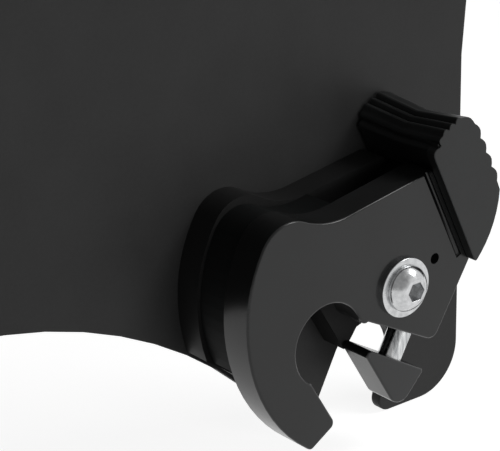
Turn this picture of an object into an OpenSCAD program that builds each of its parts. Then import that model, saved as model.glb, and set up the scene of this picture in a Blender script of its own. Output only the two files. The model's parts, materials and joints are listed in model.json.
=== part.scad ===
// Docking side plate with a rotary latch. A flat steel side plate carries a two-shell
// hook on its inner face. A thumb lever turns a sprung gate across the hook's throat and
// so locks the hook round a docking post. Millimetres. X runs to the rear, Y runs
// outwards through the plate and Z is up. The origin is the post's axis at the plate's
// inner face.

/* [Post and hook] */
// Bore of the notch that the docking post seats in
notch_d = 18.6; // [17:0.1:20]
// Clear width of the throat between the hook and the open gate
throat_w = 18.2; // [16.5:0.1:18.5]
// Fall of the throat below the level, in degrees
throat_fall = 59.5; // [55:0.5:64]
// Length of the hook's inner edge, from the post's axis to the tip
hook_reach = 17.4; // [14:0.1:20]
// Radius of the hook's back
back_r = 33; // [31:0.5:36]
// Radius of the hook's under side
under_r = 39.3; // [37:0.1:41]
// Radius of the rounded shoulder on top of the hook
shoulder_r = 8.7; // [8:0.1:10]
// How far the shoulder stands above the line of the top edge
shoulder_rise = 5.57; // [4:0.01:7]
// Radius of the dip between the shoulder and the top edge
dip_r = 20; // [14:0.5:24]
// How far the rear shell's top edge lies below the front shell's
rear_drop = 1.1; // [0.5:0.1:1.5]

/* [Pivot] */
// Distance of the lever's pivot behind the post's axis
pivot_x = 21; // [20:0.1:23]
// Height of the lever's pivot above the post's axis
pivot_z = 7.8; // [6.5:0.1:9]
// Shank diameter of the pivot screw
pivot_d = 6; // [5:0.1:6.5]
// Head diameter of the pivot screw
pivot_head_d = 10.5; // [9.5:0.1:12]
// Head height of the pivot screw
pivot_head_h = 3.3; // [2.8:0.1:4]
// Width across the flats of the screw's hexagon socket
socket_af = 4; // [3:0.1:4.5]
// Diameter of the flat washer under the head
washer_d = 13.6; // [12:0.1:15]
// Thickness of that washer
washer_t = 1.2; // [0.8:0.1:2]
// Outer diameter of the hard sleeve that the lever turns on
sleeve_d = 10; // [9:0.1:11]
// Wall of the bronze bush in the lever's hub
bush_wall = 1.5; // [1:0.1:2]
// Thickness of each nylon thrust washer
thrust_t = 0.5; // [0.4:0.05:0.6]

/* [Layers] */
// Thickness of the side plate
plate_t = 3; // [2.6:0.1:5]
// Thickness of the rear shell, which lies on the plate
rear_t = 7; // [6.5:0.1:9]
// Gap between the two shells
gap_t = 9; // [8.6:0.1:10]
// Thickness of the front shell
front_t = 8; // [7.6:0.1:11]
// How far the thumb pad stands proud of the front shell
pad_proud = 2.6; // [1.5:0.1:3]
// How far the pad's front lip laps over the front shell
lip_lap = 0.7; // [0:0.1:1]
// Gap between the thumb pad and the side plate
pad_gap = 1; // [0.6:0.1:2]

/* [Lever and gate] */
// Turn of the lever from open to locked, in degrees
lever_turn = 36; // [30:1:36]
// Gap between the thumb pad and the edge of the shells
groove_gap = 0.6; // [0.5:0.05:1]
// Width of the thumb pad, away from the shells
pad_w = 12.8; // [11:0.1:14]
// Height of the thumb ridges
ridge_h = 0.8; // [0.4:0.1:1.2]
// Depth of the saddle halfway along the thumb ridges
saddle = 0.9; // [0.4:0.1:1.4]
// Diameter of the bright guide pin between the lever and the gate
guide_d = 5.6; // [4:0.1:6]
// Travel of the gate on its guide pin
gate_travel = 3; // [2:0.1:3.5]
// Radius of the gate's nose
gate_nose_r = 1.05; // [0.8:0.05:1.3]
// Diameter of the pin that stops the lever at the locked end
stop_d = 4; // [3:0.1:4.4]
// Diameter of the two pins that hold the thumb pad on its tongue
pad_pin_d = 3; // [2.5:0.1:4]
// Diameter of the detent ball
ball_d = 4.5; // [4:0.1:5]
// Diameter of the sight hole in front of the detent
sight_d = 2.5; // [1.5:0.1:2.8]

/* [Side plate] */
// Length of the plate
plate_l = 291; // [260:1:320]
// Height of the plate's top edge above the post's axis
plate_top = 118; // [112:1:140]
// Depth of the plate's feet below the post's axis
foot_z = 36.6; // [36:0.1:42]
// Overhang of the plate's rear edge past the post's axis
rear_x = 61.6; // [59:0.1:70]
// Radius of the arch between the feet
arch_r = 114.5; // [112:0.5:117]
// Width of the two docking slots in the plate
slot_w = 18.5; // [17:0.1:19.5]
// Corner radius of the feet
foot_r = 12; // [8:0.5:15]
// Diameter of the holes for the rack's bolts
rack_hole_d = 8.5; // [6:0.1:11]
// Length of the rack's hole pattern
rack_dx = 140; // [100:1:180]
// Height of the rack's hole pattern
rack_dz = 18; // [15:1:22]

/* [Fasteners] */
// Shank diameter of the countersunk screws that hold the shells
shell_screw_d = 5; // [4:0.1:5.4]
// Head diameter of those screws
shell_head_d = 9.6; // [8.6:0.1:10]
// How far the spacer between the shells stays inside their outline
spacer_rim = 0.8; // [0.7:0.1:2.5]

/* [Hidden] */

$fn = 64;
ARC_STEP = 5;          // degrees between the points of an outline's arc
CUT = 1;               // how far a cutter runs past a face
RUN = 0.04;            // radial running clearance
SEAT = 0.01;           // gap of a pressed, tapped or close seat
LOOSE = 0.1;           // radial gap of a clearance hole
REST = 0.05;           // gap where one piece lies against another

notch_r = notch_d / 2;
slot_r = slot_w / 2;
P = [pivot_x, pivot_z];

// Y of each layer's low side
rear_y = -rear_t;
gap_y = rear_y - gap_t;
front_y = gap_y - front_t;
mid_y = rear_y - gap_t / 2;

// Points and directions in the XZ plane
function at(a) = [cos(a), sin(a)];
function along(p, a, s) = p + s * at(a);
function angle(v) = atan2(v[1], v[0]);
function unit(v) = v / norm(v);
// Where the line through p at angle a meets the line through q at angle b
function meet(p, a, q, b) = let (w = q - p)
    p + at(a) * ((w[0] * sin(b) - w[1] * cos(b)) / sin(b - a));
function arc(c, r, a0, a1) = let (n = max(2, ceil(abs(a1 - a0) / ARC_STEP)))
    [for (i = [0:n]) along(c, a0 + (a1 - a0) * i / n, r)];
// Rounds the corner at p between its neighbours a and b
function fillet(a, p, b, r) = let (
    u = unit(a - p), v = unit(b - p),
    half = acos(u * v) / 2,
    reach = min(r / tan(half), 0.9 * norm(a - p), 0.9 * norm(b - p)),
    rr = reach * tan(half),
    c = p + unit(u + v) * rr / sin(half),
    a0 = angle(p + u * reach - c),
    da = angle(p + v * reach - c) - a0,
    turn = da > 180 ? da - 360 : da < -180 ? da + 360 : da)
    arc(c, rr, a0, a0 + turn);

// A flat shape in the XZ plane as a slab from y0 to y0 + t
module slab(y0, t) {
    translate([0, y0 + t, 0]) rotate([90, 0, 0]) linear_extrude(t) children();
}
// A round bar along +Y
module bar(p, r, y0, l) {
    translate([p[0], y0, p[1]]) rotate([-90, 0, 0]) cylinder(r = r, h = l);
}
module ring(p, r_out, r_in, y0, l) {
    difference() {
        bar(p, r_out, y0, l);
        bar(p, r_in, y0 - CUT, l + 2 * CUT);
    }
}
// A round rod in the gap's middle plane, from p at angle a
module rod(p, a, r, l) {
    translate([p[0], mid_y, p[1]]) rotate([0, 90 - a, 0]) cylinder(r = r, h = l);
}
// A coil spring along +Z: mean radius r, wire radius w, wire centres l apart at the ends
module coil(r, w, l, turns) {
    steps = 14 * turns;
    function loop(i) = [for (j = [0:5]) [
        (r + w * cos(60 * j)) * cos(360 * i / 14),
        (r + w * cos(60 * j)) * sin(360 * i / 14),
        l * i / steps + w * sin(60 * j)]];
    polyhedron(
        points = [for (i = [0:steps]) each loop(i)],
        faces = concat([[for (j = [0:5]) j]],
            [for (i = [0:steps - 1]) for (j = [0:5])
                [6 * i + j, 6 * i + 6 + j, 6 * i + 6 + (j + 1) % 6, 6 * i + (j + 1) % 6]],
            [[for (j = [5:-1:0]) 6 * steps + j]]));
}

// ---- Throat, lever and gate lines ------------------------------------------------
throat_a = -throat_fall;
side_a = 90 - throat_fall;
// A point s down the throat and d towards its gate side
function in_throat(s, d) = s * at(throat_a) + d * at(side_a);
hook_d = 1 - notch_r;
gate_d = hook_d + throat_w;

groove_a = 25.5;        // direction from the pivot square to the shells' rear edge
groove_in = 19;         // distance of that edge from the pivot
pad_in = groove_in + groove_gap;
// A point n from the pivot towards the pad and t up along the pad
function by_pad(n, t) = P + n * at(groove_a) + t * at(groove_a + 90);

guide_a = 59.8;         // direction of the guide pin, up and to the rear
guide_in = 18.3;        // distance of the guide pin's axis from the pivot
gate_low = 16.2;        // distance of the gate's top below the point beside the pivot
// A point b to the rear of the guide pin's axis and t above the gate's top
function by_gate(b, t) = P + (guide_in + b) * at(guide_a - 90) + (t - gate_low) * at(guide_a);

// ---- Shells ------------------------------------------------------------------------
top_fall = 10.8;        // slope of the top edge
top_p = [pivot_x - 1, pivot_z + 22.9];
rear_top_p = top_p - [0, rear_drop];
rear_fall = 9.5;        // slope of the rear shell's top edge
rear_rise = shoulder_rise + 1.3;
lower_a = -32.1;        // direction from the pivot square to the lower rear edge
lower_in = 16.7;        // distance of that edge from the pivot
rear_corner = meet(along(P, lower_a, lower_in), lower_a + 90, by_pad(groove_in, 0), groove_a + 90);
corner_r = norm(rear_corner - P);
nose_r = 1.4;
nose_c = (notch_r + 1.7) * at(17.4);
under_p = nose_c + nose_r * at(300) + [1.1, 0];
under_fall = 28.6;      // slope of the bottom edge behind the throat
lower_corner = meet(along(P, lower_a, lower_in), lower_a + 90, under_p, -under_fall);
// The back, the shoulder and the dip of the hook
back_c = [10.8, 9.5];
join_a = 174;
under_c = along(back_c, join_a, back_r - under_r);
// The shoulder and the dip of a shell whose top edge falls through p, with a shoulder
// that stands this far above the edge's line
function shoulder_angle(p, fall, rise) = fall + 90
    + acos(((p - back_c) * at(fall + 90) + rise - shoulder_r) / (back_r - shoulder_r));
function shoulder_centre(p, fall, rise) =
    along(back_c, shoulder_angle(p, fall, rise), back_r - shoulder_r);
function dip_centre(p, fall, c) = let (
    q = along(p, fall + 90, dip_r), w = q - c, s = w * at(fall))
    along(q, fall, sqrt(s * s - w * w + pow(dip_r + shoulder_r, 2)) - s);
shoulder_a = shoulder_angle(top_p, top_fall, shoulder_rise);
shoulder_c = shoulder_centre(top_p, top_fall, shoulder_rise);
dip_c = dip_centre(top_p, top_fall, shoulder_c);
dip_a = angle(dip_c - shoulder_c);
// The hook's tip, and the heel where its face meets the under side
tip_p = in_throat(hook_reach, hook_d);
tip_a = 31.3;
tip_w = tip_p - under_c;
tip_s = tip_w * at(tip_a);
heel_p = along(tip_p, tip_a, -tip_s - sqrt(tip_s * tip_s - tip_w * tip_w + under_r * under_r));
heel_a = angle(heel_p - under_c) + 360;

module shell_outline(p, fall, rise) {
    top_corner = meet(by_pad(groove_in, 0), groove_a + 90, p, fall);
    turn_a = shoulder_angle(p, fall, rise);
    bump_c = shoulder_centre(p, fall, rise);
    low_c = dip_centre(p, fall, bump_c);
    low_a = angle(low_c - bump_c);
    polygon(concat(
        fillet(under_p, lower_corner, rear_corner, 2.5),
        fillet(lower_corner, rear_corner, top_corner, 0.6),
        fillet(rear_corner, top_corner, p, 1.2),
        arc(low_c, dip_r, fall - 90, low_a - 180),
        arc(bump_c, shoulder_r, low_a, turn_a),
        arc(back_c, back_r, turn_a, join_a),
        arc(under_c, under_r, join_a, heel_a - 2),
        fillet(along(under_c, heel_a - 2, under_r), heel_p, tip_p, 1.2),
        fillet(heel_p, tip_p, in_throat(0, hook_d), 1.6),
        [in_throat(0, hook_d), [0, 0], 0.97 * notch_r * at(20)],
        arc(nose_c, nose_r, 200, 300)));
}
module notch(y0, l) {
    bar([0, 0], notch_r, y0 - CUT, l + 2 * CUT);
}

// The stop pin stands between the shells beside the hub
stop_a = 120;
stop_in = 13;
stop_p = along(P, stop_a, stop_in);
stop_l = 4;             // length of the stop pin in each shell

// The spacer follows the hook's back, and the three screws through it hold the shells
spacer_low_a = 206;
spacer_step_a = 162;
spacer_in = norm(back_c) + notch_r + 0.3;
spacer_mid = (spacer_in + back_r - spacer_rim) / 2;
spacer_x = stop_p[0] - stop_d / 2 - 4.3;
spacer_top_a = -acos((spacer_x - dip_c[0]) / (dip_r + spacer_rim));
SPOTS = [along(back_c, 150, spacer_mid), [4, notch_r + 10.7], along(back_c, 198, spacer_mid)];
shell_screw_r = shell_screw_d / 2;
head_cone_h = (shell_head_d - shell_screw_d) / 2;
tap_l = 6;              // screw thread in the front shell
hex_af = 3;             // hexagon socket of the shell screws
hex_depth = 1.8;

// The pivot's clinch nut
nut_shank_d = pivot_d + 3;
nut_body_d = pivot_d + 7;
nut_body_l = 5;

arch_rim = 0.8;         // how far the rear shell stays inside the plate's arch
// The rear shell's lug, which runs down beside the throat behind the gate
lug_d = gate_d + 0.1;
lug_l = 20.3;           // reach of the lug down the throat
LUG = [[13, 5], in_throat(-4, lug_d), in_throat(lug_l, lug_d), [21, -10.2], [22.7, -7.9],
    [25, -7.2], [26, -2]];
module rear_shell() {
    color("#161617") difference() {
        slab(rear_y, rear_t) {
            difference() {
                shell_outline(rear_top_p, rear_fall, rear_rise);
                translate(arch_c) circle(r = arch_r + arch_rim, $fn = 180);
            }
            polygon(LUG);
        }
        notch(rear_y, rear_t);
        rear_shell_bores();
    }
}
module rear_shell_bores() {
    bar(P, pivot_d / 2 + LOOSE, rear_y - CUT, rear_t + 2 * CUT);
    bar(P, nut_body_d / 2 + LOOSE, -nut_body_l, nut_body_l + CUT);
    bar(stop_p, stop_d / 2 + SEAT, rear_y - CUT, stop_l + CUT + REST);
    for (s = SPOTS) bar(s, shell_screw_r + LOOSE, rear_y - CUT, rear_t + 2 * CUT);
}

// The detent: a ball on a spring in the front shell, in a track of the lever
detent_a = 22.6;
detent_in = 10.4;
detent_p = along(P, detent_a, detent_in);
ball_r = ball_d / 2;
ball_bite = 1;          // how far the ball stands out of the front shell
ball_y = gap_y + ball_bite - ball_r;
pocket_l = 6.2;
pocket_r = ball_r + 0.08;

// A shallow round groove down the front face beside the thumb pad
edge_groove_r = 0.75;
edge_groove_in = 16.5;
edge_groove_low = -4.9;
module edge_groove() {
    q = by_pad(edge_groove_in, edge_groove_low);
    translate([q[0], front_y, q[1]]) rotate([0, -groove_a, 0])
        cylinder(r = edge_groove_r, h = back_r);
}
module front_shell() {
    color("#2e2f30") difference() {
        slab(front_y, front_t) shell_outline(top_p, top_fall, shoulder_rise);
        notch(front_y, front_t);
        edge_groove();
        bar(P, pivot_d / 2 + LOOSE, front_y - CUT, front_t + 2 * CUT);
        bar(detent_p, sight_d / 2, front_y - CUT, front_t);
        bar(detent_p, pocket_r, gap_y - pocket_l, pocket_l + CUT);
        bar(stop_p, stop_d / 2 + SEAT, gap_y - stop_l - REST, stop_l + CUT + REST);
        for (s = SPOTS) bar(s, shell_screw_r + SEAT, gap_y - tap_l - REST, tap_l + CUT + REST);
    }
}
module shell_spacer() {
    color("#161617") difference() {
        slab(gap_y, gap_t) polygon(concat(
            arc(dip_c, dip_r + spacer_rim, spacer_top_a, dip_a - 180),
            arc(shoulder_c, shoulder_r - spacer_rim, dip_a, shoulder_a),
            arc(back_c, back_r - spacer_rim, shoulder_a, spacer_low_a),
            arc(back_c, spacer_in, spacer_low_a, spacer_step_a),
            [[spacer_x, back_c[1] + 6.5]]));
        for (s = SPOTS) bar(s, shell_screw_r + LOOSE, gap_y - CUT, gap_t + 2 * CUT);
    }
}
module countersunk(s, extra) {
    translate([s[0], plate_t - head_cone_h, s[1]]) rotate([-90, 0, 0])
        cylinder(r1 = shell_screw_r + extra, r2 = shell_head_d / 2 + extra, h = head_cone_h);
}
module shell_screws() {
    color("#2a2a2c") for (s = SPOTS) difference() {
        union() {
            bar(s, shell_screw_r, gap_y - tap_l, tap_l + gap_t + rear_t + plate_t - head_cone_h);
            countersunk(s, 0);
        }
        translate([s[0], plate_t - hex_depth, s[1]]) rotate([-90, 0, 0])
            cylinder(r = hex_af / 2 / cos(30), h = hex_depth + CUT, $fn = 6);
    }
}
module stop_pin() {
    color("#c6c8ca") bar(stop_p, stop_d / 2, gap_y - stop_l, gap_t + 2 * stop_l);
}

// ---- Side plate ------------------------------------------------------------------
front_x = rear_x - plate_l;
mid_x = rear_x - plate_l / 2;
arch_p = [-7.2, -14.8];  // the arch passes under the hook here
arch_c = [mid_x, arch_p[1] - sqrt(arch_r * arch_r - pow(arch_p[0] - mid_x, 2))];
foot_a = asin((-foot_z - arch_c[1]) / arch_r);
// The rear slot: its round end, and its run down and forwards
slot_end = [31, -20.5];
slot_a = 242.2;
slot_left = along(slot_end, slot_a - 90, slot_r);
slot_right = along(slot_end, slot_a + 90, slot_r);
slot_knee = along(slot_right, slot_a, 3.5);
slot_toe = meet(slot_knee, slot_a + 14, [0, -foot_z], 0);
tooth = meet(along(arch_c, foot_a, arch_r), foot_a - 90, slot_left, slot_a);
// The front slot: level and open to the front
front_slot = [front_x + 24.4, -8];
front_mouth = [front_x - CUT, front_slot[1]];
lean = 5.4;             // lean of the rear edge above lean_z
lean_z = 47.4;
top_rear = [rear_x + (plate_top - lean_z) * tan(lean), plate_top];
rack_c = [-30, plate_top - 20];
RACK = [for (i = [-1, 1]) for (j = [-1, 1]) rack_c + [i * rack_dx / 2, j * rack_dz / 2]];

module plate_outline() {
    front_toe = along(arch_c, 180 - foot_a, arch_r);
    polygon(concat(
        arc(arch_c, arch_r, 180 - foot_a - 2, foot_a + 3),
        fillet(along(arch_c, foot_a + 3, arch_r), tooth, slot_left, 2),
        [slot_left, slot_right, slot_knee],
        fillet(slot_knee, slot_toe, [rear_x, -foot_z], 3),
        fillet(slot_toe, [rear_x, -foot_z], [rear_x, lean_z], foot_r),
        [[rear_x, lean_z]],
        fillet([rear_x, lean_z], top_rear, [front_x, plate_top], 14),
        fillet(top_rear, [front_x, plate_top], [front_x, 0], 40),
        fillet([front_x, 0], [front_x, -foot_z], front_toe, foot_r),
        fillet([front_x, -foot_z], front_toe, along(arch_c, 178 - foot_a, arch_r), 3)));
}
module side_plate() {
    color("#323334") difference() {
        slab(0, plate_t) plate_outline();
        bar(slot_end, slot_r, -CUT, plate_t + 2 * CUT);
        bar(front_slot, slot_r, -CUT, plate_t + 2 * CUT);
        slab(-CUT, plate_t + 2 * CUT) polygon([front_slot + [0, slot_r],
            front_mouth + [0, slot_r + 2], front_mouth - [0, slot_r + 2], front_slot - [0, slot_r]]);
        bar(P, nut_shank_d / 2 + SEAT, -CUT, plate_t + 2 * CUT);
        for (h = RACK) bar(h, rack_hole_d / 2, -CUT, plate_t + 2 * CUT);
        for (s = SPOTS) {
            bar(s, shell_screw_r + LOOSE, -CUT, plate_t + 2 * CUT);
            countersunk(s, SEAT);
            bar(s, shell_head_d / 2 + SEAT, plate_t, CUT);
        }
    }
}

// ---- Pivot ------------------------------------------------------------------------
sleeve_r = sleeve_d / 2;
bush_r = sleeve_r + RUN + bush_wall;
head_y = front_y - washer_t;
head_rim = 0.7;         // height of the head's straight rim
dome_flat_r = 2.7;      // radius of the flat on top of the dome
dome_c = [0, (pow(pivot_head_d / 2, 2) + head_rim * head_rim - dome_flat_r * dome_flat_r
    - pivot_head_h * pivot_head_h) / (2 * (head_rim - pivot_head_h))];
dome_rim = [pivot_head_d / 2, head_rim];
dome_top = [dome_flat_r, pivot_head_h];

module pivot_screw() {
    color("#d4d6d8") difference() {
        union() {
            bar(P, pivot_d / 2, head_y, plate_t - 0.4 - head_y);
            translate([P[0], head_y, P[1]]) rotate([90, 0, 0]) rotate_extrude()
                polygon(concat([[0, 0], [pivot_head_d / 2, 0]],
                    arc(dome_c, norm(dome_rim - dome_c), angle(dome_rim - dome_c),
                        angle(dome_top - dome_c)), [[0, pivot_head_h]]));
        }
        translate([P[0], head_y - pivot_head_h - CUT, P[1]]) rotate([-90, 0, 0])
            cylinder(r = socket_af / 2 / cos(30), h = CUT + 2.2, $fn = 6);
    }
}
module pivot_washer() {
    color("#dcdedf") ring(P, washer_d / 2, pivot_d / 2 + LOOSE, head_y, washer_t);
}
module pivot_sleeve() {
    color("#8f9194") ring(P, sleeve_r, pivot_d / 2 + LOOSE, gap_y, gap_t);
}
module pivot_nut() {
    color("#a9abae") difference() {
        union() {
            bar(P, nut_shank_d / 2, -CUT, CUT + plate_t - 0.2);
            bar(P, nut_body_d / 2, -nut_body_l, nut_body_l);
        }
        bar(P, pivot_d / 2 + SEAT, -nut_body_l - CUT, nut_body_l + plate_t + 2 * CUT);
    }
}
thrust_r = sleeve_r + 3;
module front_thrust_washer() {
    color("#e6e4da") ring(P, thrust_r, sleeve_r + SEAT, gap_y, thrust_t);
}
module rear_thrust_washer() {
    color("#e6e4da") ring(P, thrust_r, sleeve_r + SEAT, rear_y - thrust_t, thrust_t);
}

// ---- Detent ------------------------------------------------------------------------
detent_wire_r = 0.25;
detent_coil_r = 1.4;
detent_coil_y = gap_y - pocket_l + detent_wire_r + REST;
detent_coil_l = ball_y - detent_coil_y
    - sqrt(pow(ball_r + detent_wire_r + REST, 2) - detent_coil_r * detent_coil_r);
module detent_spring() {
    color("#b9bbbd") translate([detent_p[0], detent_coil_y, detent_p[1]]) rotate([-90, 0, 0])
        coil(detent_coil_r, detent_wire_r, detent_coil_l, 3);
}
module detent_ball() {
    color("#c9cbcd") translate([detent_p[0], ball_y, detent_p[1]]) sphere(r = ball_r, $fn = 32);
}

// ---- Lever --------------------------------------------------------------------------
arm_side = thrust_t + REST;
arm_y = gap_y + arm_side;
arm_t = gap_t - 2 * arm_side;
hub_r = bush_r + 3;
track_w = 3.4;
track_out = detent_in + track_w / 2;
web_r = track_out + 0.9;
ear_out = 12.8;
ear_a = stop_a + asin((stop_d / 2 + 0.15) / stop_in) + lever_turn;
tongue_l = 8;
tongue_low = 2;
tongue_high = 16;
boss_w = 10;            // width of the boss that carries the guide pin
boss_low = 7;           // height of the boss's end above the gate's top
boss_high = 27;

guide_r = guide_d / 2;
guide_top = boss_high - 9;
bore_top = boss_high - 2;
cross_r = 1;
cross_t = 12.5;         // height of the cross pin above the gate's top

module tongue_outline(extra) {
    polygon([by_pad(6, tongue_low - extra), by_pad(pad_in + tongue_l + extra, tongue_low - extra),
        by_pad(pad_in + tongue_l + extra, tongue_high + extra), by_pad(6, tongue_high + extra)]);
}
module arm_outline() {
    polygon(concat([P], arc(P, web_r, -20, 92)));
    polygon(concat([P], arc(P, ear_out, ear_a, ear_a + 20)));
    tongue_outline(0);
    polygon([P, along(P, -100, hub_r - 1), by_gate(-boss_w / 2, boss_low), by_gate(boss_w / 2, boss_low),
        by_gate(boss_w / 2, boss_high - 3), by_gate(boss_w / 2 - 3, boss_high),
        by_gate(-boss_w / 2, boss_high), along(P, 30, web_r - 2)]);
}
module lever_arm() {
    color("#4a4b4d") difference() {
        union() {
            slab(arm_y, arm_t) arm_outline();
            bar(P, hub_r, arm_y, arm_t);
        }
        bar(P, bush_r + SEAT, arm_y - CUT, arm_t + 2 * CUT);
        rod(by_gate(0, boss_low - CUT), guide_a, guide_r + RUN, bore_top - boss_low + CUT);
        cross_slot();
        detent_track();
        for (p = PAD_PINS) bar(p, pad_pin_d / 2 + SEAT, arm_y - CUT, arm_t + 2 * CUT);
    }
}
// The slot across the boss in which the cross pin travels with the gate
module cross_slot() {
    slot_gap = cross_r + 0.15;
    slab(arm_y - CUT, arm_t + 2 * CUT) polygon(concat(
        arc(by_gate(0, cross_t), slot_gap, guide_a + 90, guide_a + 270),
        arc(by_gate(0, cross_t + gate_travel), slot_gap, guide_a - 90, guide_a + 90)));
}
// The track in which the detent ball runs while the lever turns
module detent_track() {
    depth = ball_bite + REST - arm_side;
    intersection() {
        ring(P, track_out, track_out - track_w, arm_y - CUT, depth + CUT);
        slab(arm_y - CUT, depth + CUT) polygon(concat([P],
            [for (i = [0:3]) along(P, detent_a - 12 + (lever_turn + 24) * i / 3, 2 * track_out)]));
    }
}
module lever_bush() {
    color("#b08a4e") ring(P, bush_r, sleeve_r + RUN, arm_y, arm_t);
}

// ---- Thumb pad ------------------------------------------------------------------------
PAD_PINS = [for (t = [5, 13]) by_pad(pad_in + 4, t)];
pad_out = pad_in + pad_w;
pad_high = 27;          // reach of the ridges up the pad
bulge_r = 23.8;
bulge_t = 15.1;
bulge_a = 29;           // angle round the bulge at which the ridges start
pad_front = front_y - pad_proud;
pad_half = (-pad_gap - pad_front) / 2;
pad_c = by_pad(pad_in, 10);
pad_squeeze = 1 - saddle / pad_w;
// Round ridges from p to q
function ridges(p, q, n) = [for (i = [0:n - 1]) for (j = [0:4])
    let (s = (i + j / 5) / n) p + s * (q - p)
        + ridge_h * sin(36 * j) * unit([q[1] - p[1], p[0] - q[0]])];
// The points between which the ridges run, up the pad's back and over its top
ridge_low = [pad_out - ridge_h, 6];
ridge_edge = [pad_out - ridge_h - 0.2, 22.5];
ridge_top = [pad_in + 9, pad_high - ridge_h];
ridge_turn = [pad_in + 2.8, pad_high - ridge_h - 0.2];
ridge_end_t = pad_high - 4.5;
bulge_c = [pad_out - ridge_h - 0.1 - bulge_r * cos(bulge_a), bulge_t];
function bulge(a) = bulge_c + bulge_r * at(a);
// The pad's outline from its inner side at n, round the bulge and back over the ridges
function pad_profile(n) = let (low_a = -acos((n + 0.9 - bulge_c[0]) / bulge_r)) concat(
    [[n, bulge(low_a)[1] + 0.6], [n + 0.3, bulge(low_a)[1] - 0.1]],
    [for (i = [0:6]) bulge(low_a * (1 - i / 6) - bulge_a * i / 6)],
    ridges(ridge_low, ridge_edge, 4),
    ridges(ridge_edge, ridge_top, 1),
    ridges(ridge_top, ridge_turn, 3),
    ridges(ridge_turn, [n, ridge_end_t], 2),
    [[n, ridge_end_t]]);
// The front lip laps over the shells, and a relief behind it clears their lower corner
lip_gap = 0.2;
lip_in = groove_in - lip_lap;
relief_in = corner_r + 0.3;
relief_t = relief_in * sin(lever_turn - acos(groove_in / corner_r));
relief_top = pad_in * tan(lever_turn / 2) + 0.3;
module pad_outline() {
    polygon([for (p = pad_profile(pad_in)) by_pad(p[0], p[1]) - pad_c]);
}
module pad_lip() {
    slab(pad_front, pad_proud - lip_gap) difference() {
        polygon([for (p = pad_profile(lip_in)) by_pad(p[0], p[1])]);
        polygon([by_pad(pad_in + CUT, -pad_high), by_pad(2 * pad_out, -pad_high),
            by_pad(2 * pad_out, 2 * pad_high), by_pad(pad_in + CUT, 2 * pad_high)]);
    }
}
module pad_relief() {
    slab(front_y - lip_gap, -front_y) polygon([
        by_pad(lip_in, -pad_high), by_pad(relief_in, -pad_high), by_pad(relief_in, relief_t),
        by_pad(pad_in, relief_top), by_pad(lip_in, relief_top)]);
}
module thumb_pad() {
    color("#333435") difference() {
        union() {
            translate([pad_c[0], -pad_gap, pad_c[1]]) rotate([90, 0, 0])
                linear_extrude(pad_half, scale = pad_squeeze) pad_outline();
            translate([pad_c[0], -pad_gap - pad_half, pad_c[1]]) rotate([90, 0, 0])
                linear_extrude(pad_half, scale = 1 / pad_squeeze) scale(pad_squeeze) pad_outline();
            pad_lip();
        }
        pad_relief();
        slab(arm_y - SEAT, arm_t + 2 * SEAT) tongue_outline(SEAT);
        for (p = PAD_PINS) bar(p, pad_pin_d / 2 + SEAT, arm_y - 5 - REST, CUT - arm_y + 5);
    }
}
module pad_pins() {
    color("#c6c8ca") for (p = PAD_PINS) bar(p, pad_pin_d / 2, arm_y - 5, 5 - arm_y - pad_gap - 0.3);
}

// ---- Gate -------------------------------------------------------------------------------
gate_side = 0.3;
gate_back = 8.3;        // reach of the gate behind the guide pin's axis
gate_back_a = 46;       // slope of the gate's back
gate_tip = meet(by_gate(0, 0), guide_a + 90, in_throat(0, gate_d), throat_a);
gate_rear = by_gate(gate_back, 0);
gate_base = meet(gate_rear, gate_back_a, gate_tip, throat_a);
guide_l = 5.5;          // length of the guide pin in the gate

module gate_block() {
    color("#2b2c2d") difference() {
        slab(gap_y + gate_side, gap_t - 2 * gate_side) polygon(concat(
            fillet(gate_rear, gate_tip, gate_base, gate_nose_r),
            fillet(gate_tip, gate_base, gate_rear, 3.5),
            fillet(gate_base, gate_rear, gate_tip, 0.8)));
        rod(by_gate(0, -guide_l - REST), guide_a, guide_r + SEAT, guide_l + CUT + REST);
    }
}
module guide_pin() {
    color("#cfd1d3") difference() {
        rod(by_gate(0, -guide_l), guide_a, guide_r, guide_top + guide_l);
        bar(by_gate(0, cross_t), cross_r + SEAT, mid_y - guide_d, 2 * guide_d);
    }
}
module cross_pin() {
    color("#b4b6b8") bar(by_gate(0, cross_t), cross_r, arm_y + 0.2, arm_t - 0.4);
}
gate_wire_r = 0.35;
gate_coil_r = guide_r - 0.25 - gate_wire_r;
gate_coil_t = guide_top + gate_wire_r + REST;
module gate_spring() {
    color("#b9bbbd") translate([by_gate(0, gate_coil_t)[0], mid_y, by_gate(0, gate_coil_t)[1]])
        rotate([0, 90 - guide_a, 0])
        coil(gate_coil_r, gate_wire_r, bore_top - gate_coil_t - gate_wire_r - REST, 4);
}

side_plate();
rear_shell();
front_shell();
shell_spacer();
shell_screws();
stop_pin();
pivot_screw();
pivot_washer();
pivot_sleeve();
pivot_nut();
front_thrust_washer();
rear_thrust_washer();
detent_spring();
detent_ball();
lever_arm();
lever_bush();
thumb_pad();
pad_pins();
gate_spring();
gate_block();
guide_pin();
cross_pin();
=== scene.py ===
# %% [markdown]
# # A docking side plate with a rotary latch
#
# The object is a flat black steel plate with a small latch on its inner face. The latch has
# two hook-shaped shells, a ridged thumb lever and a wedge-shaped gate on a bright guide pin.
# The exact solids come from the CAD frame. This script gives them what a CAD solid lacks:
# rounded edges, real finishes, a camera, a floor and light.

# %% Load the fixed frame
import json
import math

import bmesh
import bpy
from mathutils import Matrix, Vector


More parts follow.
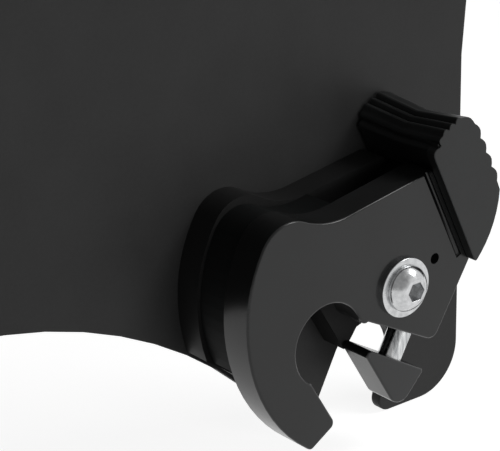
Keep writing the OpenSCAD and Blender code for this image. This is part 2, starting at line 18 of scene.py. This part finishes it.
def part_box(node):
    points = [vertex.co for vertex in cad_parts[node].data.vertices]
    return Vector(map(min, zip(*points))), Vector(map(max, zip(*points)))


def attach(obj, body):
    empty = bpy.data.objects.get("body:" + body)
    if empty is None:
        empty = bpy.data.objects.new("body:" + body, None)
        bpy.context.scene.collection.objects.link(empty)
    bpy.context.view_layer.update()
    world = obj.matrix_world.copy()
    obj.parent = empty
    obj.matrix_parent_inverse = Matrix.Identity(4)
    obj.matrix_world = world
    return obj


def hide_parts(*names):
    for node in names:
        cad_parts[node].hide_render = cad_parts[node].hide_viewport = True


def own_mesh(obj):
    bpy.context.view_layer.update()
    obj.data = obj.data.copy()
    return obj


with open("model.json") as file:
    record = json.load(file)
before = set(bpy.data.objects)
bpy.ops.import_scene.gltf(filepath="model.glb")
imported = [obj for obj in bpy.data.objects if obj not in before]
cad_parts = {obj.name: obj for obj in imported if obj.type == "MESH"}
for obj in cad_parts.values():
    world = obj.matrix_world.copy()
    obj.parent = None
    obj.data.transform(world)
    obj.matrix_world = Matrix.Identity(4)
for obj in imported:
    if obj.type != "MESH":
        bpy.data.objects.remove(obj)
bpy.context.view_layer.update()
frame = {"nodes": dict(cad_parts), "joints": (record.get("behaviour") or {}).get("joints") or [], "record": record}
MM = 0.001
print("frame nodes:", len(frame["nodes"]))

# %% [markdown]
# ## Places that every step shares
#
# Only a few places are needed, and each is read from the frame. The docking post's axis is
# the origin. The pivot is the middle of its washer, and the layers' heights are the faces of
# the shells and of the plate.

# %% Read the places from the frame
def middle(node):
    """The middle of a CAD node's box."""
    low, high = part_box(node)
    return (low + high) / 2


pivot = middle("pivot_washer")
front_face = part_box("front_shell")[0].y
plate_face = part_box("side_plate")[0].y
plate_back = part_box("side_plate")[1].y
foot_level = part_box("side_plate")[0].z
print("pivot at", [round(v / MM, 2) for v in pivot], "mm; foot at", round(foot_level / MM, 2))

# %% [markdown]
# ## Colours and nodes
#
# Paint and metal colours are written as the usual sRGB hex values. Blender's shaders work in
# linear light, so one function turns a hex value into linear numbers. A second function adds
# a node with its settings and its links, so that each material reads as a short list.

# %% Two helpers for materials
def colour(hex_value):
    """An sRGB hex value as a linear colour with alpha."""
    parts = [int(hex_value[i:i + 2], 16) / 255 for i in (1, 3, 5)]
    return [p / 12.92 if p <= 0.04045 else ((p + 0.055) / 1.055) ** 2.4 for p in parts] + [1.0]


def add_node(tree, kind, links=None, **values):
    """Adds a node. Values are settings or input values, links are input: (node, output)."""
    node = tree.nodes.new(kind)
    for key, value in values.items():
        if hasattr(node, key):
            setattr(node, key, value)
    for key, value in values.items():
        if not hasattr(node, key):
            node.inputs[key.replace("_", " ")].default_value = value
    for key, (source, output) in (links or {}).items():
        tree.links.new(source.outputs[output], node.inputs[key])
    return node


def new_material(name):
    """An empty material and its node tree."""
    material = bpy.data.materials.new(name)
    material.use_nodes = True
    material.node_tree.nodes.clear()
    return material, material.node_tree


def per_metre(size_mm):
    """The noise scale that gives features of about this size on Object coordinates."""
    return 1000.0 / size_mm


# %% [markdown]
# ## Satin black powder coat
#
# Powder coat is a plastic powder, sprayed on and baked. It is a dielectric over steel: no
# metallic reflection, a soft satin gloss and a very fine orange peel. The peel is about
# half a millimetre across. The colour drifts a little between two near blacks, and the
# gloss drifts with it, as the film is never quite even. The plate and the two pieces behind
# the front shell have a duller coat with less shine than the pieces that a hand touches.
# The two pieces behind the front shell, the rear shell and the spacer, are also painted
# darker than the plate: painted shade, for the shade that falls in the gap behind the front shell.

# %% Make the powder coats
def powder_coat(name, dark, light, gloss, peel_mm=0.5, shine=0.36, peel_height=0.004):
    """Satin powder coat that varies between two close colours."""
    material, tree = new_material(name)
    place = add_node(tree, "ShaderNodeTexCoord")
    drift = add_node(tree, "ShaderNodeTexNoise", {"Vector": (place, "Object")},
                     Scale=per_metre(14), Detail=3.0, Roughness=0.5)
    speck = add_node(tree, "ShaderNodeTexNoise", {"Vector": (place, "Object")},
                     Scale=per_metre(0.9), Detail=2.0)
    both = add_node(tree, "ShaderNodeMix", {"A": (drift, "Fac"), "B": (speck, "Fac")},
                    data_type="FLOAT")
    both.inputs["Factor"].default_value = 0.35
    tone = add_node(tree, "ShaderNodeValToRGB", {"Fac": (both, "Result")})
    tone.color_ramp.elements[0].position = 0.35
    tone.color_ramp.elements[0].color = colour(dark)
    tone.color_ramp.elements[1].position = 0.65
    tone.color_ramp.elements[1].color = colour(light)
    sheen = add_node(tree, "ShaderNodeMapRange", {"Value": (both, "Result")})
    sheen.inputs["From Min"].default_value = 0.35
    sheen.inputs["From Max"].default_value = 0.65
    sheen.inputs["To Min"].default_value = gloss - 0.03
    sheen.inputs["To Max"].default_value = gloss + 0.04
    peel = add_node(tree, "ShaderNodeTexNoise", {"Vector": (place, "Object")},
                    Scale=per_metre(peel_mm), Detail=1.5)
    bump = add_node(tree, "ShaderNodeBump", {"Height": (peel, "Fac")}, Strength=0.25)
    bump.inputs["Distance"].default_value = peel_height * MM
    shader = add_node(tree, "ShaderNodeBsdfPrincipled",
                      {"Base Color": (tone, "Color"), "Roughness": (sheen, "Result"),
                       "Normal": (bump, "Normal")}, Metallic=0.0, IOR=1.5,
                      Specular_IOR_Level=shine)
    add_node(tree, "ShaderNodeOutputMaterial", {"Surface": (shader, "BSDF")})
    return material


plate_coat = powder_coat("plate powder coat", "#2c2c2c", "#333333", 0.50, shine=0.18)
shell_coat = powder_coat("shell powder coat", "#141414", "#191a1a", 0.22)
# Painted shade: the rear shell's coat is darker than the plate's, for the shade behind the front shell.
rear_coat_and_painted_shade = powder_coat("rear shell powder coat with painted shade", "#1e1e1e", "#242424", 0.50, shine=0.10)
# Painted shade: the spacer is painted near black, for the shade in the gap between the shells.
spacer_painted_shade = powder_coat("spacer coat with painted shade", "#0f1010", "#141515", 0.65, shine=0.08)
pad_coat = powder_coat("thumb pad powder coat", "#1d1e1e", "#242525", 0.36, shine=0.30)
gate_coat = powder_coat("gate black coat", "#1a1b1c", "#202122", 0.20, 0.6, shine=0.42)

# %% [markdown]
# ## Bright and plain metals
#
# The pivot screw and its washer are chrome plated: a mirror with only a breath of haze. The
# guide pin is ground stainless steel, so it carries fine scratches along its length. Zinc
# plate is softer and a little mottled, black oxide is a thin dark skin on hard steel, bronze
# is warm and porous, and drawn wire is dull. They differ in colour, in roughness and in the
# pattern that breaks up the gloss, so one function makes them all. The lever arm's black
# oxide is painted darker than the skin alone: painted shade for the gap between the shells.

# %% Make the metals
def worked_metal(name, dark, light, rough, spread, grain_mm, stretch=(1, 1, 1), turn=0.0, depth=0.001):
    """Bare or plated metal whose grain may be stretched, as by grinding or brushing."""
    material, tree = new_material(name)
    place = add_node(tree, "ShaderNodeTexCoord")
    grain_place = add_node(tree, "ShaderNodeMapping", {"Vector": (place, "Object")},
                           Rotation=(0, turn, 0), Scale=stretch)
    grain = add_node(tree, "ShaderNodeTexNoise", {"Vector": (grain_place, "Vector")},
                     Scale=per_metre(grain_mm), Detail=3.0)
    tone = add_node(tree, "ShaderNodeValToRGB", {"Fac": (grain, "Fac")})
    tone.color_ramp.elements[0].position = 0.3
    tone.color_ramp.elements[0].color = colour(dark)
    tone.color_ramp.elements[1].position = 0.7
    tone.color_ramp.elements[1].color = colour(light)
    haze = add_node(tree, "ShaderNodeMapRange", {"Value": (grain, "Fac")})
    haze.inputs["From Min"].default_value = 0.3
    haze.inputs["From Max"].default_value = 0.7
    haze.inputs["To Min"].default_value = rough
    haze.inputs["To Max"].default_value = rough + spread
    bump = add_node(tree, "ShaderNodeBump", {"Height": (grain, "Fac")}, Strength=0.3)
    bump.inputs["Distance"].default_value = depth * MM
    shader = add_node(tree, "ShaderNodeBsdfPrincipled",
                      {"Base Color": (tone, "Color"), "Roughness": (haze, "Result"),
                       "Normal": (bump, "Normal")}, Metallic=1.0)
    add_node(tree, "ShaderNodeOutputMaterial", {"Surface": (shader, "BSDF")})
    return material


guide_angle = math.radians(59.8)
chrome = worked_metal("chrome plating", "#b4b5b6", "#cfd0d1", 0.12, 0.12, 1.2)
ground_steel = worked_metal("ground stainless steel", "#8e9092", "#eceded", 0.10, 0.14, 0.6,
                            (1, 1, 0.04), guide_angle - math.pi / 2)
zinc = worked_metal("zinc plating", "#a9abad", "#c8cacb", 0.28, 0.12, 1.2)
# Painted shade: this black oxide is painted extra dark, for the shade on the lever arm in the gap between the
# shells.
black_oxide_and_painted_shade = worked_metal("black oxide steel with painted shade", "#121314", "#1c1d1e", 0.40, 0.12, 1.6)
black_zinc = worked_metal("black zinc plating", "#191a1b", "#262728", 0.30, 0.10, 1.0)
spring_wire = worked_metal("drawn spring steel", "#77797b", "#9b9d9f", 0.30, 0.10, 0.5)
bronze = worked_metal("sintered bronze", "#8a6a3c", "#b08a52", 0.38, 0.15, 0.4, depth=0.004)

# %% [markdown]
# ## Nylon
#
# The thrust washers are punched from natural nylon sheet. It is a milky plastic with a low
# gloss, and a little light goes into it, which softens its shadows.

# %% Make the nylon
nylon, tree = new_material("natural nylon")
place = add_node(tree, "ShaderNodeTexCoord")
cloud = add_node(tree, "ShaderNodeTexNoise", {"Vector": (place, "Object")},
                 Scale=per_metre(3), Detail=2.0)
milk = add_node(tree, "ShaderNodeValToRGB", {"Fac": (cloud, "Fac")})
milk.color_ramp.elements[0].color = colour("#d8d5c9")
milk.color_ramp.elements[1].color = colour("#e6e4da")
plastic = add_node(tree, "ShaderNodeBsdfPrincipled", {"Base Color": (milk, "Color")},
                   Roughness=0.45, IOR=1.53)
plastic.inputs["Subsurface Weight"].default_value = 0.08
plastic.inputs["Subsurface Scale"].default_value = 1 * MM
add_node(tree, "ShaderNodeOutputMaterial", {"Surface": (plastic, "BSDF")})

# %% [markdown]
# ## Give each carried-over solid its finish
#
# Most solids are right as they are, and only need their finish. The finish goes into the
# object's own material slot, which leaves the frame's mesh alone.

# %% Dress the solids
FINISH = {
    "side_plate": plate_coat, "rear_shell": rear_coat_and_painted_shade, "front_shell": shell_coat,
    "thumb_pad": pad_coat, "gate_block": gate_coat, "lever_arm": black_oxide_and_painted_shade,
    "shell_screws": black_zinc, "pivot_screw": chrome, "pivot_washer": chrome,
    "guide_pin": ground_steel, "detent_ball": chrome, "shell_spacer": spacer_painted_shade,
    "stop_pin": zinc, "pivot_sleeve": zinc, "pivot_nut": zinc, "pad_pins": zinc,
    "cross_pin": zinc, "detent_spring": spring_wire, "gate_spring": spring_wire,
    "lever_bush": bronze, "front_thrust_washer": nylon, "rear_thrust_washer": nylon,
}
for node_name, finish in FINISH.items():
    solid = frame["nodes"][node_name]
    for slot in solid.material_slots:
        slot.link = "OBJECT"
        slot.material = finish
print("finishes given:", len(FINISH))

# %% [markdown]
# ## Rounded edges
#
# A coated steel part never has a knife edge: it is tumbled or sanded first, and the coat
# rounds what is left. Those small rounds catch the light and draw the object's outline. A
# copy of a CAD mesh is merged, its flat areas are joined again, and its sharp edges are
# bevelled. A test says which edges take the round, so small holes keep their size.

# %% A helper that rounds the edges of a copy
body_of = {node: body for body, nodes in frame["record"]["behaviour"]["bodies"].items() for node in nodes}


def settle(piece):
    """Turns what a piece's modifiers make into its own plain mesh."""
    graph = bpy.context.evaluated_depsgraph_get()
    mesh = bpy.data.meshes.new_from_object(piece.evaluated_get(graph), preserve_all_data_layers=True,
                                           depsgraph=graph)
    piece.modifiers.clear()
    piece.data = mesh


def smooth(piece, sharp=28):
    """Smooth shading that keeps sharp edges and lets the large flat faces lead."""
    piece.data.shade_smooth()
    piece.data.set_sharp_from_angle(angle=math.radians(sharp))
    leaning = piece.modifiers.new("flat faces lead", "WEIGHTED_NORMAL")
    leaning.keep_sharp = True
    leaning.weight = 100
    settle(piece)


def finish_piece(piece, node, finish):
    """Gives a piece its finish, lets it ride and lets it stand for its CAD node."""
    piece.data.materials.clear()
    piece.data.materials.append(finish)
    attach(piece, body_of[node])
    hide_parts(node)
    return piece


def merged_copy(node):
    """A merged copy of a CAD node's mesh, with its flat areas joined."""
    work = bmesh.new()
    work.from_mesh(frame["nodes"][node].data)
    bmesh.ops.remove_doubles(work, verts=work.verts, dist=0.002 * MM)
    bmesh.ops.dissolve_limit(work, angle_limit=math.radians(0.4), verts=work.verts,
                             edges=work.edges, delimit=set())
    return work


def rounded(node, finish, steps):
    """A copy of a node with rounds. Each step is (width in mm, segments, test on an edge)."""
    work = merged_copy(node)
    for width, segments, wanted in steps:
        edges = [e for e in work.edges if len(e.link_faces) == 2
                 and e.calc_face_angle(0) > math.radians(35) and e.is_convex
                 and wanted((e.verts[0].co + e.verts[1].co) / 2, e)]
        bmesh.ops.bevel(work, geom=edges, offset=width * MM, offset_type="OFFSET",
                        segments=segments, profile=0.5, affect="EDGES", clamp_overlap=False)
    mesh = bpy.data.meshes.new(node + "_rounded")
    work.to_mesh(mesh)
    work.free()
    piece = bpy.data.objects.new(node + "_rounded", mesh)
    bpy.context.scene.collection.objects.link(piece)
    smooth(piece)
    print(piece.name, len(piece.data.polygons), "faces")
    return finish_piece(piece, node, finish)


def near(y):
    """A test for edges that lie in the plane at this Y."""
    return lambda mid, edge: all(abs(v.co.y - y) < 0.02 * MM for v in edge.verts)


def outside(hole_centre, radius, test):
    """A test that also keeps clear of a hole."""
    def both(mid, edge):
        away = math.hypot(mid.x - hole_centre.x, mid.z - hole_centre.z)
        return away > radius and test(mid, edge)
    return both


# %% [markdown]
# ## The shells and the plate
#
# The front shell's edge has a round of half a millimetre, from machining. The rear shell
# keeps its cut edge, and the plate is cut from sheet, so its edge is nearly square. The round stays
# clear of the sight hole, the pivot's hole and the shallow groove beside the thumb pad.

# %% Round the shells and the plate
sight = middle("detent_ball")
GROOVE_ANGLE = math.radians(25.5)
GROOVE_IN = 16.5 * MM


def off_groove(test):
    """A test that also leaves out the groove's own edges."""
    across = Vector((math.cos(GROOVE_ANGLE), 0, math.sin(GROOVE_ANGLE)))

    def both(mid, edge):
        run = (edge.verts[1].co - edge.verts[0].co).normalized()
        in_groove = abs((mid - pivot).dot(across) - GROOVE_IN) < 1 * MM and abs(run.dot(across)) < 0.1
        return not in_groove and test(mid, edge)
    return both


clear_of_holes = off_groove(outside(sight, 2 * MM, outside(pivot, 5 * MM, near(front_face))))
rounded("front_shell", shell_coat, [(0.5, 3, clear_of_holes)])
rounded("rear_shell", rear_coat_and_painted_shade, [])
rounded("side_plate", plate_coat, [
    (0.35, 2, lambda mid, edge: abs(mid.y - plate_face) < 0.02 * MM or abs(mid.y - plate_back) < 0.02 * MM)])

# %% [markdown]
# ## The gate, the arm, the screw and its washer
#
# The gate is a small hardened wedge whose edges are ground round, so that it slides past the
# post without biting. The screw's head and washer are turned, with fine broken edges that
# hold a thin line of light.

# %% Round the gate, the arm and the pivot's metal
gate_low, gate_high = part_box("gate_block")
on_gate_face = lambda mid, edge: near(gate_low.y)(mid, edge) or near(gate_high.y)(mid, edge)
rounded("gate_block", gate_coat, [(0.5, 3, on_gate_face)])
arm_low, arm_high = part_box("lever_arm")
on_arm_face = lambda mid, edge: near(arm_low.y)(mid, edge) or near(arm_high.y)(mid, edge)
rounded("lever_arm", black_oxide_and_painted_shade, [(0.3, 2, outside(pivot, 13.6 * MM, on_arm_face))])
rounded("pivot_washer", chrome, [(0.18, 3, near(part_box("pivot_washer")[0].y))])
rounded("pivot_screw", chrome, [(0.15, 3, lambda mid, edge: mid.y < front_face - 1 * MM)])
rounded("guide_pin", ground_steel, [(0.25, 2, lambda mid, edge: True)])

# %% [markdown]
# ## The thumb pad
#
# The pad is a casting. Its ridges run across it for grip and dip to a shallow V halfway, so
# that a thumb centres itself. Both ends of the ridges are rounded over.

# %% Round the thumb pad
pad_low, pad_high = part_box("thumb_pad")
on_pad_end = lambda mid, edge: near(pad_low.y)(mid, edge) or near(pad_high.y)(mid, edge)
rounded("thumb_pad", pad_coat, [(0.2, 2, on_pad_end)])

# %% [markdown]
# ## Screws and springs, by rule
#
# The three countersunk screws are alike, so one screw is built as a node tree and placed on
# three points. The detent's spring is a wire swept along a helix. Each tree has named inputs
# for its sizes, and its result becomes a plain mesh.

# %% Helpers for node trees
def node_tree(name, sizes):
    """A geometry tree with a named input for each size. Returns the tree, its way in and out."""
    tree = bpy.data.node_groups.new(name, "GeometryNodeTree")
    tree.interface.new_socket("Geometry", in_out="INPUT", socket_type="NodeSocketGeometry")
    for size in sizes:
        tree.interface.new_socket(size, in_out="INPUT", socket_type="NodeSocketFloat")
    tree.interface.new_socket("Geometry", in_out="OUTPUT", socket_type="NodeSocketGeometry")
    return tree, tree.nodes.new("NodeGroupInput"), tree.nodes.new("NodeGroupOutput")


def close_tree(tree, shape, way_out, finish):
    """Ends a tree: real geometry with its finish."""
    real = add_node(tree, "GeometryNodeRealizeInstances", {"Geometry": shape})
    dressed = add_node(tree, "GeometryNodeSetMaterial", {"Geometry": (real, "Geometry")}, Material=finish)
    tree.links.new(dressed.outputs["Geometry"], way_out.inputs["Geometry"])


def grow(name, points, tree, sizes):
    """Runs a tree on a few points with these sizes, and returns the plain object."""
    seed = bpy.data.meshes.new(name)
    seed.from_pydata(points, [], [])
    piece = bpy.data.objects.new(name, seed)
    bpy.context.scene.collection.objects.link(piece)
    rule = piece.modifiers.new("rule", "NODES")
    rule.node_group = tree
    for item in tree.interface.items_tree:
        if item.in_out == "INPUT" and item.name in sizes:
            rule[item.identifier] = sizes[item.name]
    settle(piece)
    print(name, len(piece.data.polygons), "faces")
    return piece


def loose_parts(node):
    """The box of each separate solid of a CAD node, as its low and high corner."""
    work = merged_copy(node)
    left = set(work.verts)
    boxes = []
    while left:
        group, edge_of_group = set(), [left.pop()]
        while edge_of_group:
            vert = edge_of_group.pop()
            group.add(vert)
            for other in (e.other_vert(vert) for e in vert.link_edges):
                if other in left:
                    left.remove(other)
                    edge_of_group.append(other)
        boxes.append(tuple(Vector(pick(v.co[i] for v in group) for i in range(3)) for pick in (min, max)))
    work.free()
    return boxes


# %% The countersunk screws
screw_boxes = loose_parts("shell_screws")
screw_low, screw_high = screw_boxes[0]
head_radius = (screw_high.x - screw_low.x) / 2
shank_radius = 2.5 * MM     # M5
SOCKET_FLATS = 3 * MM
SOCKET_DEPTH = 1.8 * MM
tree, way_in, way_out = node_tree("countersunk screws", ["Shank radius", "Head radius", "Length", "Socket"])
cone_height = add_node(tree, "ShaderNodeMath", {0: (way_in, "Head radius"), 1: (way_in, "Shank radius")},
                       operation="SUBTRACT")
shank_length = add_node(tree, "ShaderNodeMath", {0: (way_in, "Length"), 1: (cone_height, 0)},
                        operation="SUBTRACT")
head = add_node(tree, "GeometryNodeMeshCone", {"Radius Top": (way_in, "Head radius"),
                "Radius Bottom": (way_in, "Shank radius"), "Depth": (cone_height, 0)}, Vertices=48)
head_place = add_node(tree, "ShaderNodeCombineXYZ", {"Z": (shank_length, 0)})
head_up = add_node(tree, "GeometryNodeTransform",
                   {"Geometry": (head, "Mesh"), "Translation": (head_place, 0)})
shank = add_node(tree, "GeometryNodeMeshCone", {"Radius Top": (way_in, "Shank radius"),
                 "Radius Bottom": (way_in, "Shank radius"), "Depth": (shank_length, 0)}, Vertices=48)
socket_place = add_node(tree, "ShaderNodeMath", {0: (way_in, "Length")}, operation="SUBTRACT")
socket_place.inputs[1].default_value = SOCKET_DEPTH
socket_up = add_node(tree, "ShaderNodeCombineXYZ", {"Z": (socket_place, 0)})
hexagon = add_node(tree, "GeometryNodeMeshCone", {"Radius Top": (way_in, "Socket"),
                   "Radius Bottom": (way_in, "Socket")}, Vertices=6, Depth=4 * MM)
hexagon_up = add_node(tree, "GeometryNodeTransform",
                      {"Geometry": (hexagon, "Mesh"), "Translation": (socket_up, 0)})
blank = add_node(tree, "GeometryNodeMeshBoolean", operation="UNION")
tree.links.new(head_up.outputs["Geometry"], blank.inputs["Mesh 2"])
tree.links.new(shank.outputs["Mesh"], blank.inputs["Mesh 2"])
cut = add_node(tree, "GeometryNodeMeshBoolean",
               {"Mesh 1": (blank, "Mesh"), "Mesh 2": (hexagon_up, "Geometry")}, operation="DIFFERENCE")
turned = add_node(tree, "GeometryNodeTransform", {"Geometry": (cut, "Mesh")},
                  Rotation=(-math.pi / 2, 0, 0))
placed = add_node(tree, "GeometryNodeInstanceOnPoints",
                  {"Points": (way_in, "Geometry"), "Instance": (turned, "Geometry")})
close_tree(tree, (placed, "Instances"), way_out, black_zinc)
screws = grow("countersunk_screws", [((low.x + high.x) / 2, low.y, (low.z + high.z) / 2)
                                     for low, high in screw_boxes], tree,
              {"Shank radius": shank_radius, "Head radius": head_radius,
               "Length": screw_high.y - screw_low.y, "Socket": SOCKET_FLATS / 2 / math.cos(math.radians(30))})
smooth(screws)
finish_piece(screws, "shell_screws", black_zinc)

# %% The detent's spring
spring_low, spring_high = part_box("detent_spring")
wire_radius = 0.25 * MM
coil_radius = (spring_high.x - spring_low.x) / 2 - wire_radius
tree, way_in, way_out = node_tree("coil spring", ["Coil radius", "Wire radius", "Length", "Turns"])
helix = add_node(tree, "GeometryNodeCurveSpiral", {
    "Rotations": (way_in, "Turns"), "Start Radius": (way_in, "Coil radius"),
    "End Radius": (way_in, "Coil radius"), "Height": (way_in, "Length")}, Resolution=32)
wire = add_node(tree, "GeometryNodeCurvePrimitiveCircle", {"Radius": (way_in, "Wire radius")}, Resolution=10)
swept = add_node(tree, "GeometryNodeCurveToMesh",
                 {"Curve": (helix, "Curve"), "Profile Curve": (wire, "Curve")})
swept.inputs["Fill Caps"].default_value = True
close_tree(tree, (swept, "Mesh"), way_out, spring_wire)
spring = grow("detent_spring_coil", [(0, 0, 0)], tree, {
    "Coil radius": coil_radius, "Wire radius": wire_radius, "Turns": 3.0,
    "Length": spring_high.y - spring_low.y - 2 * wire_radius})
spring.data.transform(Matrix.Translation((sight.x, spring_low.y + wire_radius, sight.z))
                      @ Matrix.Rotation(-math.pi / 2, 4, "X"))
smooth(spring)
finish_piece(spring, "detent_spring", spring_wire)

# %% [markdown]
# ## The gate's spring
#
# This spring sits in the lever's bore above the guide pin, and the pin presses it shorter
# when a post pushes the gate aside. Its copy gets its own mesh, and its upper seat along the
# gate's own slide is found.

# %% Find the upper seat of the gate's spring
gate_slide = [joint for joint in frame["joints"] if joint["name"] == "gate_slide"][0]
slide_way = Vector(gate_slide["axis"]).normalized()
gate_coil = rounded("gate_spring", spring_wire, [])
reach = [vert.co.dot(slide_way) for vert in gate_coil.data.vertices]
upper_seat = middle("gate_spring")
upper_seat = upper_seat + slide_way * (max(reach) - upper_seat.dot(slide_way))
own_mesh(gate_coil)

# %% [markdown]
# ## Camera
#
# The camera stands to the left of the latch and a little above it, close enough for some
# perspective. Its angles, its distance and the point that it looks at are named here.

# %% Place the camera
camera_azimuth = math.radians(38.37)    # to the left of straight on
camera_height = math.radians(20.73)     # above the level
camera_roll = math.radians(-1.13)
camera_distance = 402.4 * MM
camera_lens = 143.86                    # mm, on a 36 mm sensor
look_at = Vector((-21.08, -24.0, 32.57)) * MM
towards = Vector((-math.sin(camera_azimuth) * math.cos(camera_height),
                  -math.cos(camera_azimuth) * math.cos(camera_height), math.sin(camera_height)))
right = Vector((math.cos(camera_azimuth), -math.sin(camera_azimuth), 0))
up = towards.cross(right)
right_rolled = right * math.cos(camera_roll) + up * math.sin(camera_roll)
up_rolled = -right * math.sin(camera_roll) + up * math.cos(camera_roll)
camera_data = bpy.data.cameras.new("camera")
camera_data.sensor_width = 36
camera_data.lens = camera_lens
camera_data.clip_start = 0.01
camera = bpy.data.objects.new("camera", camera_data)
camera.matrix_world = Matrix.Translation(look_at + towards * camera_distance) @ Matrix(
    (right_rolled, up_rolled, towards)).transposed().to_4x4()
bpy.context.scene.collection.objects.link(camera)
bpy.context.scene.camera = camera
print("camera at", [round(v / MM, 1) for v in camera.location])

# %% [markdown]
# ## Floor and light
#
# The plate stands on its feet on a plain pale floor. The light is a soft studio: one large
# lamp straight in front, a small one high on the right that draws the edges, and a pale
# surround that is dark overhead and to the far left, so that the black faces which look up
# stay black. To the camera the backdrop is white. To metal and glass it is white too, but
# for a darker side at the upper left.

# %% Lay the floor
def backdrop_rays(tree):
    """1 for the rays that show the backdrop: from the camera, off metal or through glass."""
    rays = add_node(tree, "ShaderNodeLightPath")
    mirrored = add_node(tree, "ShaderNodeMath", {0: (rays, "Is Camera Ray"), 1: (rays, "Is Glossy Ray")},
                        operation="MAXIMUM")
    return add_node(tree, "ShaderNodeMath", {0: (mirrored, 0), 1: (rays, "Is Transmission Ray")},
                    operation="MAXIMUM")


floor_mesh = bpy.data.meshes.new("floor")
FLOOR_REACH = 3.0           # metres each way
FLOOR_GAP = 0.2 * MM        # below the feet
FLOOR_GLOW = 0.88           # keeps a faint shadow under a nearly white floor
floor_mesh.from_pydata([(-FLOOR_REACH, -FLOOR_REACH, 0), (FLOOR_REACH, -FLOOR_REACH, 0),
                        (FLOOR_REACH, FLOOR_REACH, 0), (-FLOOR_REACH, FLOOR_REACH, 0)], [], [(0, 1, 2, 3)])
floor_mesh.transform(Matrix.Translation((0, 0, foot_level - FLOOR_GAP)))
floor = bpy.data.objects.new("floor", floor_mesh)
bpy.context.scene.collection.objects.link(floor)
floor_paint, tree = new_material("white floor paint")
matt = add_node(tree, "ShaderNodeBsdfDiffuse", Color=colour("#b4b4b4"))
dull = add_node(tree, "ShaderNodeBsdfDiffuse", Color=colour("#9a9a9a"))
glow = add_node(tree, "ShaderNodeEmission", Strength=FLOOR_GLOW)
both = add_node(tree, "ShaderNodeAddShader")
tree.links.new(matt.outputs["BSDF"], both.inputs[0])
tree.links.new(glow.outputs["Emission"], both.inputs[1])
choice = add_node(tree, "ShaderNodeMixShader", {"Fac": (backdrop_rays(tree), 0)})
tree.links.new(dull.outputs["BSDF"], choice.inputs[1])
tree.links.new(both.outputs["Shader"], choice.inputs[2])
add_node(tree, "ShaderNodeOutputMaterial", {"Surface": (choice, "Shader")})
floor.data.materials.append(floor_paint)

# %% Light the studio
world = bpy.data.worlds.new("studio")
bpy.context.scene.world = world
world.use_nodes = True
tree = world.node_tree
tree.nodes.clear()
sky = add_node(tree, "ShaderNodeTexCoord")


def towards_side(way, near_to, far_from, low, high):
    """A strength that grows from low to high as a ray's direction turns from far_from to near_to."""
    side = add_node(tree, "ShaderNodeVectorMath", {"Vector": (sky, "Generated")}, operation="DOT_PRODUCT")
    side.inputs[1].default_value = Vector(way).normalized()
    spread = add_node(tree, "ShaderNodeMapRange", {"Value": (side, "Value")}, interpolation_type="SMOOTHSTEP")
    spread.inputs["From Min"].default_value = far_from
    spread.inputs["From Max"].default_value = near_to
    spread.inputs["To Min"].default_value = low
    spread.inputs["To Max"].default_value = high
    return spread


lit_side = towards_side((0.15, -0.85, -0.48), 0.75, -0.15, 0.03, 0.35)
surround = add_node(tree, "ShaderNodeBackground", {"Strength": (lit_side, "Result")}, Color=(1, 1, 1, 1))
flag = towards_side((-0.6, -0.3, 0.75), 0.80, 0.35, 1.0, 0.40)
backdrop = add_node(tree, "ShaderNodeBackground", {"Strength": (flag, "Result")}, Color=(1, 1, 1, 1))
seen = add_node(tree, "ShaderNodeMixShader", {"Fac": (backdrop_rays(tree), 0)})
tree.links.new(surround.outputs["Background"], seen.inputs[1])
tree.links.new(backdrop.outputs["Background"], seen.inputs[2])
add_node(tree, "ShaderNodeOutputWorld", {"Surface": (seen, "Shader")})


def lamp(name, place, size, watts, mirrored):
    """A square lamp that points at the latch, and that glossy coats may or may not mirror."""
    data = bpy.data.lights.new(name, "AREA")
    data.shape = "SQUARE"
    data.size = size
    data.energy = watts
    light = bpy.data.objects.new(name, data)
    aim = (look_at - Vector(place)).to_track_quat("-Z", "Y")
    light.matrix_world = Matrix.Translation(place) @ aim.to_matrix().to_4x4()
    light.visible_glossy = mirrored
    bpy.context.scene.collection.objects.link(light)
    return light


lamp("key lamp", (0.12, -1.25, 0.05), 0.8, 8.6, False)
lamp("edge lamp", (0.66, -0.42, 0.82), 0.4, 4, True)
bpy.context.scene.view_settings.view_transform = "Standard"
